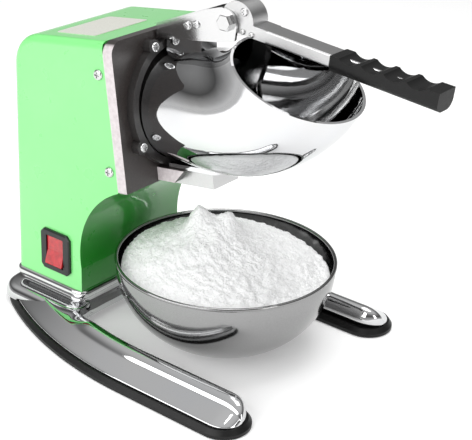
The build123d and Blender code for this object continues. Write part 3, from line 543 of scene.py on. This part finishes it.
def add_base():
    """The legs and the back of the base: one cut carried along the line, domed at each end."""
    stations = []
    for step in range(tip_steps, 0, -1):
        turn = math.radians(90 * step / tip_steps)
        squeeze = max(0.02, math.cos(turn))
        spot = (-leg_x, leg_tip_y - leg_half * math.sin(turn))
        stations.append((spot, (1.0, 0.0), squeeze))
    stations += [(spot, inward, 1.0) for spot, inward in leg_line()]
    mirror = []
    for spot, inward, squeeze in stations:
        mirror.append(((-spot[0], spot[1]), (-inward[0], inward[1]), squeeze))
    stations += mirror[::-1][1:]
    points = []
    count = len(leg_cut)
    for spot, inward, squeeze in stations:
        near = (spot[1] - pedestal_blend[0]) / (pedestal_blend[1] - pedestal_blend[0])
        near = min(1.0, max(0.0, near))
        near = near * near * (3 - 2 * near)
        for plain, flared in zip(leg_cut, pedestal_cut):
            across = plain[0] + (flared[0] - plain[0]) * near
            height = plain[1] + (flared[1] - plain[1]) * near
            slide = across * squeeze
            rise = leg_low + (height - leg_low) * squeeze ** 0.8
            points.append((spot[0] + inward[0] * slide, spot[1] + inward[1] * slide, rise))
    faces = []
    for index in range(len(stations) - 1):
        here = index * count
        there = here + count
        for side in range(count):
            after = (side + 1) % count
            faces.append((here + side, there + side, there + after, here + after))
    faces.append(tuple(range(count)))
    faces.append(tuple(range(len(points) - 1, len(points) - count - 1, -1)))
    finish = looks["base_chrome"]
    skin = add_piece("base_skin", points, faces, finish, "machine", "base_casting")
    smooth = skin.modifiers.new("smooth", "SUBSURF")
    smooth.levels = 1
    smooth.render_levels = 1


def rounded_box(half_x, low_y, high_y, corner, gap=5.0):
    """Points round a rounded rectangle, each with the way it faces."""
    outline = []
    for middle, start in (
        ((half_x - corner, high_y - corner), 0),
        ((corner - half_x, high_y - corner), 90),
        ((corner - half_x, low_y + corner), 180),
        ((half_x - corner, low_y + corner), 270),
    ):
        for step in range(13):
            turn = math.radians(start + 90 * step / 12)
            facing = (math.cos(turn), math.sin(turn))
            outline.append(((middle[0] + corner * facing[0], middle[1] + corner * facing[1]), facing))
    dense = []
    for index, (spot, facing) in enumerate(outline):
        after = outline[(index + 1) % len(outline)][0]
        parts = max(1, round(math.hypot(after[0] - spot[0], after[1] - spot[1]) / gap))
        for part in range(parts):
            mix = part / parts
            x = spot[0] + (after[0] - spot[0]) * mix
            y = spot[1] + (after[1] - spot[1]) * mix
            dense.append(((x, y), facing))
    return dense


def loft(outline, rings):
    """Points and faces of a stack of rings: each has a height and a rule for how far out it stands."""
    points = []
    for height, out in rings:
        for spot, facing in outline:
            far = out(facing)
            points.append((spot[0] + facing[0] * far, spot[1] + facing[1] * far, height))
    count = len(outline)
    faces = [tuple(range(count)), tuple(range(len(points) - 1, len(points) - count - 1, -1))]
    for ring in range(len(rings) - 1):
        here = ring * count
        there = here + count
        for side in range(count):
            after = (side + 1) % count
            faces.append((here + side, there + side, there + after, here + after))
    return points, faces


def flare(aside, ahead, behind):
    """How far the pedestal's foot spreads, by the way the wall faces."""
    def out(facing):
        share = facing[0] ** 2
        lengthwise = ahead if facing[1] < 0 else behind
        return aside * share + lengthwise * (1 - share)
    return out


def add_pedestal():
    """The block under the housing, flaring into the legs at its sides."""
    outline = rounded_box(*pedestal_box)
    rings = [
        (27.0, flare(0.0, 0.0, 0.0)), (24.0, flare(0.2, 0.1, 0.1)), (22.0, flare(0.6, 0.2, 0.4)),
        (21.0, flare(1.5, 0.3, 1.0)), (20.3, flare(3.2, 0.4, 2.0)), (19.8, flare(5.6, 0.5, 3.5)),
        (19.4, flare(9.0, 0.6, 5.5)), (19.1, flare(13.0, 0.8, 8.0)), (18.6, flare(17.0, 1.0, 10.0)),
        (17.0, flare(19.0, 1.4, 12.0)), (12.5, flare(20.5, 3.2, 15.0)), (8.0, flare(21.5, 7.0, 16.0)),
    ]
    points, faces = loft(outline, rings)
    add_piece("pedestal_skin", points, faces, looks["base_chrome"], "machine", "base_casting")


def even(far):
    """A ring that stands out by the same amount all round."""
    return lambda facing: far


def add_trim():
    """The half-round bead between the pedestal and the housing."""
    outline = rounded_box(*trim_box)
    rings = [(trim_middle - trim_half + 0.1, even(trim_tuck))]
    for step in range(13):
        turn = math.radians(-90 + 180 * step / 12)
        rings.append((trim_middle + trim_half * math.sin(turn), even(trim_proud * math.cos(turn))))
    rings.append((trim_middle + trim_half, even(trim_tuck)))
    points, faces = loft(outline, rings)
    add_piece("trim_skin", points, faces, looks["chrome"], "machine", "base_trim")


add_bowl()
add_ice_heap()
add_ice_flakes()
add_base()
add_pedestal()
add_trim()

# ---------- camera ----------

camera_azimuth = -52.7
camera_elevation = 25.3
camera_roll = 2.3
camera_distance = 1.1115
camera_target = Vector((0.0018, -0.0206, 0.123))
camera_lens = 96.0


def add_camera():
    azimuth = math.radians(camera_azimuth)
    rise = math.radians(camera_elevation)
    back = Vector((
        math.sin(azimuth) * math.cos(rise),
        -math.cos(azimuth) * math.cos(rise),
        math.sin(rise),
    ))
    data = bpy.data.cameras.new("camera")
    data.lens = camera_lens
    data.sensor_width = 36.0
    data.clip_start = 0.01
    camera = bpy.data.objects.new("camera", data)
    camera.location = camera_target + back * camera_distance
    camera.rotation_mode = "QUATERNION"
    turn = (-back).to_track_quat("-Z", "Y")
    camera.rotation_quaternion = turn @ Quaternion((0, 0, 1), math.radians(camera_roll))
    bpy.context.scene.collection.objects.link(camera)
    bpy.context.scene.camera = camera


# ---------- studio ----------


def add_floor():
    mesh = bpy.data.meshes.new("floor")
    half = 4.0
    corners = [(-half, -half, 0), (half, -half, 0), (half, half, 0), (-half, half, 0)]
    mesh.from_pydata(corners, [], [(0, 1, 2, 3)])
    floor = bpy.data.objects.new("floor", mesh)
    bpy.context.scene.collection.objects.link(floor)
    s = Shader("floor")
    s.link(s.colours(s.noise(3, 3), (0.3, (0.93, 0.93, 0.93)), (0.7, (0.94, 0.94, 0.94))), "Base Color")
    s.set(Roughness=0.9, Specular_IOR_Level=0.1)
    s.set(Emission_Color=(1.0, 1.0, 1.0, 1.0), Emission_Strength=0.2)
    floor.data.materials.append(s.material)


def add_area(name, place, target, width, height, power, colour=(1, 1, 1)):
    data = bpy.data.lights.new(name, "AREA")
    data.shape = "RECTANGLE"
    data.size = width
    data.size_y = height
    data.energy = power
    data.color = colour
    light = bpy.data.objects.new(name, data)
    light.location = place
    aim = Vector(target) - Vector(place)
    light.rotation_mode = "QUATERNION"
    light.rotation_quaternion = aim.to_track_quat("-Z", "Y")
    bpy.context.scene.collection.objects.link(light)


def add_world():
    world = bpy.data.worlds.new("studio")
    world.use_nodes = True
    nodes = world.node_tree.nodes
    links = world.node_tree.links
    back = nodes["Background"]
    coord = nodes.new("ShaderNodeTexCoord")
    split = nodes.new("ShaderNodeSeparateXYZ")
    ramp = nodes.new("ShaderNodeValToRGB")
    links.new(coord.outputs["Generated"], split.inputs["Vector"])
    links.new(split.outputs["Z"], ramp.inputs["Fac"])
    stops = [(0.0, 0.80), (0.08, 0.55), (0.28, 0.10), (0.50, 0.30), (0.75, 0.75), (1.0, 0.9)]
    elements = ramp.color_ramp.elements
    for index, (at, shade) in enumerate(stops):
        stop = elements[index] if index < 2 else elements.new(at)
        stop.position = at
        stop.color = (shade, shade, shade, 1)
    links.new(ramp.outputs["Color"], back.inputs["Color"])
    back.inputs["Strength"].default_value = 0.85
    bpy.context.scene.world = world


add_camera()
add_floor()
add_world()
add_area("key", (-1.6, 0.25, 0.9), (0, 0, 0.15), 2.2, 1.2, 27)
add_area("top", (0.2, -0.1, 1.7), (0, 0, 0.15), 1.1, 1.0, 15)
add_area("front", (-0.3, -1.9, 0.6), (0, 0, 0.12), 0.5, 0.9, 5)
bpy.context.scene.view_settings.view_transform = "Standard"
